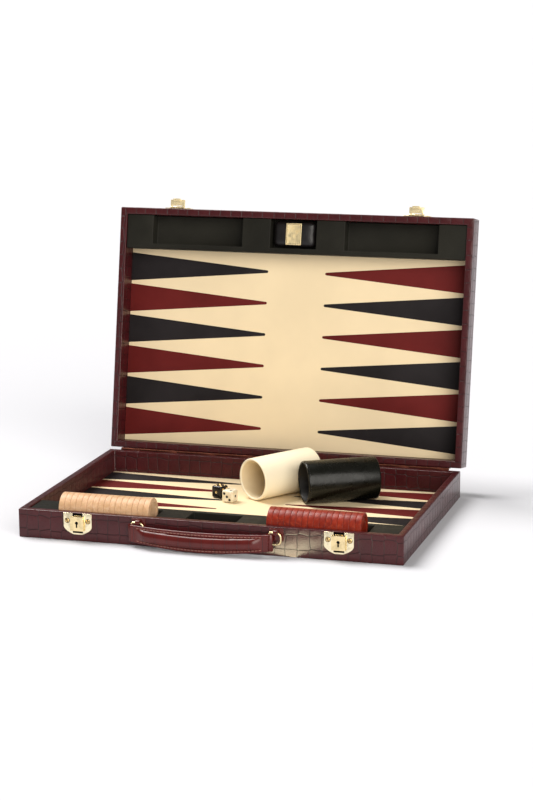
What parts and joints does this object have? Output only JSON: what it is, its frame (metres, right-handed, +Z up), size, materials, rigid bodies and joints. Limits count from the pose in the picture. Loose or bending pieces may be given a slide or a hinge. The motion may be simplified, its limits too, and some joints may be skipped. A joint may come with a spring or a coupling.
{
  "type": "backgammon case",
  "caption": "Folding leather-covered backgammon case standing open, with checkers in its tray, dice, dice cups, latches and a carrying handle.",
  "frame": {"origin": "centre of the base's underside", "axes": "+X to the right along the hinge, +Y from the handle side to the hinge side, +Z up; the case stands open with its base flat on the table"},
  "size_m": [0.46, 0.4211, 0.3509],
  "materials": {
    "croc_leather": "glossy, crocodile embossed",
    "cream_leather": "satin, with inlaid black and burgundy points",
    "black_leather": "satin, fine grain",
    "cup_leather": "satin, smooth",
    "handle_leather": "glossy, stitched",
    "brass": "polished",
    "cream_resin": "polished, lightly marbled",
    "red_resin": "polished, lightly marbled",
    "ivory": "polished",
    "black_resin": "polished"
  },
  "bodies": {
    "case_base": {"base_shell": "croc_leather", "base_board": "cream_leather", "base_tray": "black_leather", "hinge_base_leaf": "brass", "hinge_pin": "brass", "left_lock_plate": "brass", "right_lock_plate": "brass", "left_handle_tab": "handle_leather", "right_handle_tab": "handle_leather"},
    "lid": {"lid_shell": "croc_leather", "lid_board": "cream_leather", "lid_tray": "black_leather", "hinge_lid_leaf": "brass", "lid_pad": "black_leather", "lid_plaque": "brass", "left_hasp_plate": "brass", "right_hasp_plate": "brass"},
    "left_hasp": {"left_hasp": "brass"},
    "right_hasp": {"right_hasp": "brass"},
    "left_lock_slide": {"left_lock_slide": "brass"},
    "right_lock_slide": {"right_lock_slide": "brass"},
    "handle": {"handle": "handle_leather", "left_handle_ring": "brass", "right_handle_ring": "brass"},
    "cream_dice_cup": {"cream_dice_cup": "cream_resin"},
    "black_dice_cup": {"black_dice_cup": "cup_leather"},
    "cream_die": {"cream_die": "ivory"},
    "black_die": {"black_die": "black_resin"},
    "cream_checker_01": {"cream_checker_01": "cream_resin"},
    "cream_checker_02": {"cream_checker_02": "cream_resin"},
    "cream_checker_03": {"cream_checker_03": "cream_resin"},
    "cream_checker_04": {"cream_checker_04": "cream_resin"},
    "cream_checker_05": {"cream_checker_05": "cream_resin"},
    "cream_checker_06": {"cream_checker_06": "cream_resin"},
    "cream_checker_07": {"cream_checker_07": "cream_resin"},
    "cream_checker_08": {"cream_checker_08": "cream_resin"},
    "cream_checker_09": {"cream_checker_09": "cream_resin"},
    "cream_checker_10": {"cream_checker_10": "cream_resin"},
    "cream_checker_11": {"cream_checker_11": "cream_resin"},
    "cream_checker_12": {"cream_checker_12": "cream_resin"},
    "cream_checker_13": {"cream_checker_13": "cream_resin"},
    "cream_checker_14": {"cream_checker_14": "cream_resin"},
    "cream_checker_15": {"cream_checker_15": "cream_resin"},
    "cream_checker_16": {"cream_checker_16": "cream_resin"},
    "red_checker_01": {"red_checker_01": "red_resin"},
    "red_checker_02": {"red_checker_02": "red_resin"},
    "red_checker_03": {"red_checker_03": "red_resin"},
    "red_checker_04": {"red_checker_04": "red_resin"},
    "red_checker_05": {"red_checker_05": "red_resin"},
    "red_checker_06": {"red_checker_06": "red_resin"},
    "red_checker_07": {"red_checker_07": "red_resin"},
    "red_checker_08": {"red_checker_08": "red_resin"},
    "red_checker_09": {"red_checker_09": "red_resin"},
    "red_checker_10": {"red_checker_10": "red_resin"},
    "red_checker_11": {"red_checker_11": "red_resin"},
    "red_checker_12": {"red_checker_12": "red_resin"},
    "red_checker_13": {"red_checker_13": "red_resin"},
    "red_checker_14": {"red_checker_14": "red_resin"},
    "red_checker_15": {"red_checker_15": "red_resin"},
    "red_checker_16": {"red_checker_16": "red_resin"}
  },
  "joints": [
    {"name": "lid_hinge", "type": "hinge", "parent": "case_base", "child": "lid", "pos_m": [0, 0.1562, 0.0342], "axis": [-1, 0, 0], "range_deg": [-101, 79]},
    {"name": "left_hasp_hinge", "type": "hinge", "parent": "lid", "child": "left_hasp", "pos_m": [-0.156, 0.22243, 0.33928], "axis": [-1, 0, 0], "range_deg": [-90, 0], "stiffness_Nm_per_rad": 0.02, "springref_deg": 20.05},
    {"name": "left_lock_slide", "type": "slide", "parent": "case_base", "child": "left_lock_slide", "axis": [0, 0, -1], "range_m": [0, 0.003], "stiffness_N_per_m": 300, "springref_m": -0.002},
    {"name": "right_hasp_hinge", "type": "hinge", "parent": "lid", "child": "right_hasp", "pos_m": [0.156, 0.22243, 0.33928], "axis": [-1, 0, 0], "range_deg": [-90, 0], "stiffness_Nm_per_rad": 0.02, "springref_deg": 20.05},
    {"name": "right_lock_slide", "type": "slide", "parent": "case_base", "child": "right_lock_slide", "axis": [0, 0, -1], "range_m": [0, 0.003], "stiffness_N_per_m": 300, "springref_m": -0.002},
    {"name": "handle_swing", "type": "hinge", "parent": "case_base", "child": "handle", "pos_m": [-0.006, -0.1595, 0.0288], "axis": [-1, 0, 0], "range_deg": [0, 140]},
    {"name": "cream_dice_cup_lift", "type": "slide", "parent": "case_base", "child": "cream_dice_cup", "axis": [0, 0, 1], "range_m": [0, 0.12]},
    {"name": "black_dice_cup_lift", "type": "slide", "parent": "case_base", "child": "black_dice_cup", "axis": [0, 0, 1], "range_m": [0, 0.12]},
    {"name": "cream_die_lift", "type": "slide", "parent": "case_base", "child": "cream_die", "axis": [0, 0, 1], "range_m": [0, 0.08]},
    {"name": "black_die_lift", "type": "slide", "parent": "case_base", "child": "black_die", "axis": [0, 0, 1], "range_m": [0, 0.08]},
    {"name": "cream_checker_01_lift", "type": "slide", "parent": "case_base", "child": "cream_checker_01", "axis": [0, 0, 1], "range_m": [0, 0.05]},
    {"name": "cream_checker_02_lift", "type": "slide", "parent": "case_base", "child": "cream_checker_02", "axis": [0, 0, 1], "range_m": [0, 0.05]},
    {"name": "cream_checker_03_lift", "type": "slide", "parent": "case_base", "child": "cream_checker_03", "axis": [0, 0, 1], "range_m": [0, 0.05]},
    {"name": "cream_checker_04_lift", "type": "slide", "parent": "case_base", "child": "cream_checker_04", "axis": [0, 0, 1], "range_m": [0, 0.05]},
    {"name": "cream_checker_05_lift", "type": "slide", "parent": "case_base", "child": "cream_checker_05", "axis": [0, 0, 1], "range_m": [0, 0.05]},
    {"name": "cream_checker_06_lift", "type": "slide", "parent": "case_base", "child": "cream_checker_06", "axis": [0, 0, 1], "range_m": [0, 0.05]},
    {"name": "cream_checker_07_lift", "type": "slide", "parent": "case_base", "child": "cream_checker_07", "axis": [0, 0, 1], "range_m": [0, 0.05]},
    {"name": "cream_checker_08_lift", "type": "slide", "parent": "case_base", "child": "cream_checker_08", "axis": [0, 0, 1], "range_m": [0, 0.05]},
    {"name": "cream_checker_09_lift", "type": "slide", "parent": "case_base", "child": "cream_checker_09", "axis": [0, 0, 1], "range_m": [0, 0.05]},
    {"name": "cream_checker_10_lift", "type": "slide", "parent": "case_base", "child": "cream_checker_10", "axis": [0, 0, 1], "range_m": [0, 0.05]},
    {"name": "cream_checker_11_lift", "type": "slide", "parent": "case_base", "child": "cream_checker_11", "axis": [0, 0, 1], "range_m": [0, 0.05]},
    {"name": "cream_checker_12_lift", "type": "slide", "parent": "case_base", "child": "cream_checker_12", "axis": [0, 0, 1], "range_m": [0, 0.05]},
    {"name": "cream_checker_13_lift", "type": "slide", "parent": "case_base", "child": "cream_checker_13", "axis": [0, 0, 1], "range_m": [0, 0.05]},
    {"name": "cream_checker_14_lift", "type": "slide", "parent": "case_base", "child": "cream_checker_14", "axis": [0, 0, 1], "range_m": [0, 0.05]},
    {"name": "cream_checker_15_lift", "type": "slide", "parent": "case_base", "child": "cream_checker_15", "axis": [0, 0, 1], "range_m": [0, 0.05]},
    {"name": "cream_checker_16_lift", "type": "slide", "parent": "case_base", "child": "cream_checker_16", "axis": [0, 0, 1], "range_m": [0, 0.05]},
    {"name": "red_checker_01_lift", "type": "slide", "parent": "case_base", "child": "red_checker_01", "axis": [0, 0, 1], "range_m": [0, 0.05]},
    {"name": "red_checker_02_lift", "type": "slide", "parent": "case_base", "child": "red_checker_02", "axis": [0, 0, 1], "range_m": [0, 0.05]},
    {"name": "red_checker_03_lift", "type": "slide", "parent": "case_base", "child": "red_checker_03", "axis": [0, 0, 1], "range_m": [0, 0.05]},
    {"name": "red_checker_04_lift", "type": "slide", "parent": "case_base", "child": "red_checker_04", "axis": [0, 0, 1], "range_m": [0, 0.05]},
    {"name": "red_checker_05_lift", "type": "slide", "parent": "case_base", "child": "red_checker_05", "axis": [0, 0, 1], "range_m": [0, 0.05]},
    {"name": "red_checker_06_lift", "type": "slide", "parent": "case_base", "child": "red_checker_06", "axis": [0, 0, 1], "range_m": [0, 0.05]},
    {"name": "red_checker_07_lift", "type": "slide", "parent": "case_base", "child": "red_checker_07", "axis": [0, 0, 1], "range_m": [0, 0.05]},
    {"name": "red_checker_08_lift", "type": "slide", "parent": "case_base", "child": "red_checker_08", "axis": [0, 0, 1], "range_m": [0, 0.05]},
    {"name": "red_checker_09_lift", "type": "slide", "parent": "case_base", "child": "red_checker_09", "axis": [0, 0, 1], "range_m": [0, 0.05]},
    {"name": "red_checker_10_lift", "type": "slide", "parent": "case_base", "child": "red_checker_10", "axis": [0, 0, 1], "range_m": [0, 0.05]},
    {"name": "red_checker_11_lift", "type": "slide", "parent": "case_base", "child": "red_checker_11", "axis": [0, 0, 1], "range_m": [0, 0.05]},
    {"name": "red_checker_12_lift", "type": "slide", "parent": "case_base", "child": "red_checker_12", "axis": [0, 0, 1], "range_m": [0, 0.05]},
    {"name": "red_checker_13_lift", "type": "slide", "parent": "case_base", "child": "red_checker_13", "axis": [0, 0, 1], "range_m": [0, 0.05]},
    {"name": "red_checker_14_lift", "type": "slide", "parent": "case_base", "child": "red_checker_14", "axis": [0, 0, 1], "range_m": [0, 0.05]},
    {"name": "red_checker_15_lift", "type": "slide", "parent": "case_base", "child": "red_checker_15", "axis": [0, 0, 1], "range_m": [0, 0.05]},
    {"name": "red_checker_16_lift", "type": "slide", "parent": "case_base", "child": "red_checker_16", "axis": [0, 0, 1], "range_m": [0, 0.05]}
  ]
}
